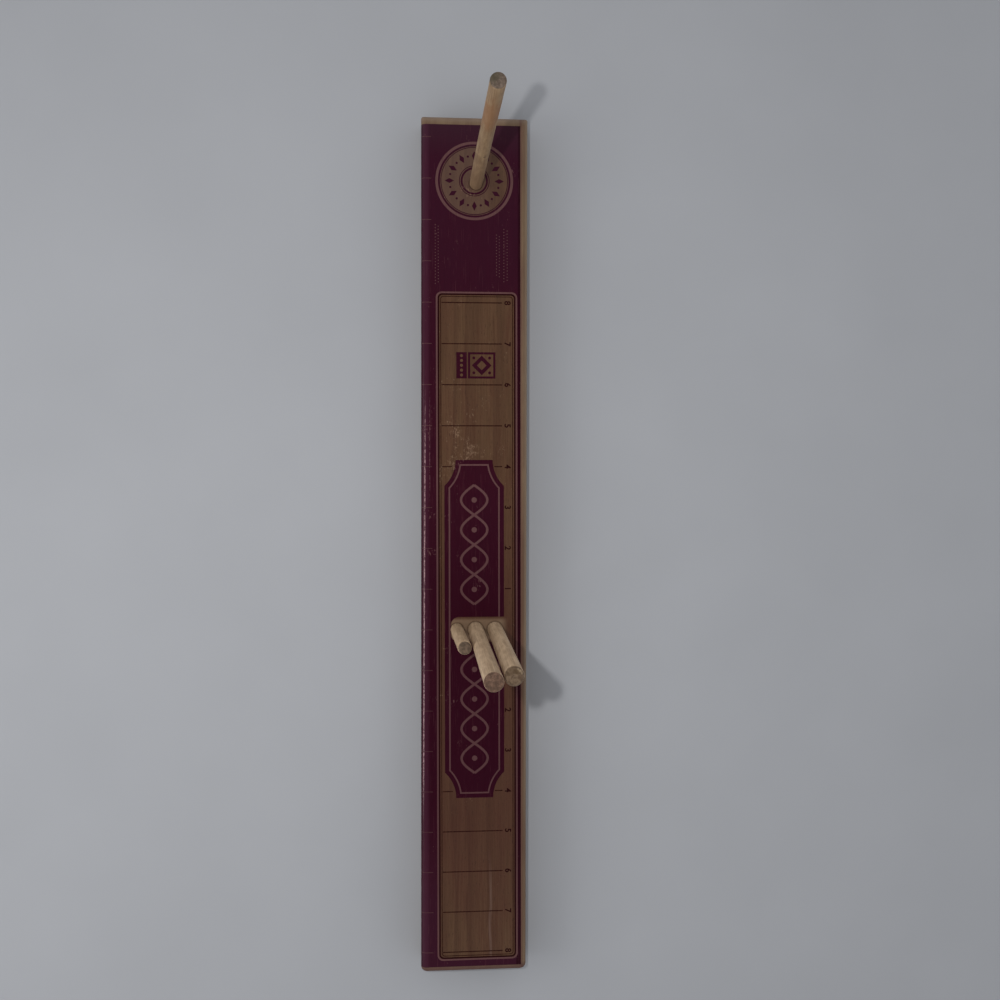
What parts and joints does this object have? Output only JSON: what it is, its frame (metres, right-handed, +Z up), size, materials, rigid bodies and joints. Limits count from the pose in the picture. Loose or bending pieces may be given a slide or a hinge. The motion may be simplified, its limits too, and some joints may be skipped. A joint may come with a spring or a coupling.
{
  "type": "ribbon bow-making board",
  "caption": "Long wooden board with a ruled scale, an upright dowel that holds a ribbon spool and a row of lift-out dowel pegs that hold ribbon while a bow is wound.",
  "frame": {"origin": "on the plane that the board lies on, under the middle of the board", "axes": "+Z up out of the printed face along the dowels, +Y along the board towards the spool dowel, +X across the board to the right"},
  "size_m": [0.066, 0.5334, 0.191],
  "materials": {
    "board_wood": "varnished, with dark plum printing on the face",
    "dowel_wood": "bare sanded birch, unvarnished"
  },
  "bodies": {
    "board": {"board": "board_wood"},
    "spool_dowel": {"spool_dowel": "dowel_wood"},
    "short_peg": {"short_peg": "dowel_wood"},
    "middle_tall_peg": {"middle_tall_peg": "dowel_wood"},
    "right_tall_peg": {"right_tall_peg": "dowel_wood"}
  },
  "joints": [
    {"name": "spool_dowel_lift", "type": "slide", "parent": "board", "child": "spool_dowel", "axis": [0, 0, 1], "range_m": [0, 0.02]},
    {"name": "short_peg_lift", "type": "slide", "parent": "board", "child": "short_peg", "axis": [0, 0, 1], "range_m": [0, 0.02]},
    {"name": "middle_tall_peg_lift", "type": "slide", "parent": "board", "child": "middle_tall_peg", "axis": [0, 0, 1], "range_m": [0, 0.02]},
    {"name": "right_tall_peg_lift", "type": "slide", "parent": "board", "child": "right_tall_peg", "axis": [0, 0, 1], "range_m": [0, 0.02]}
  ]
}
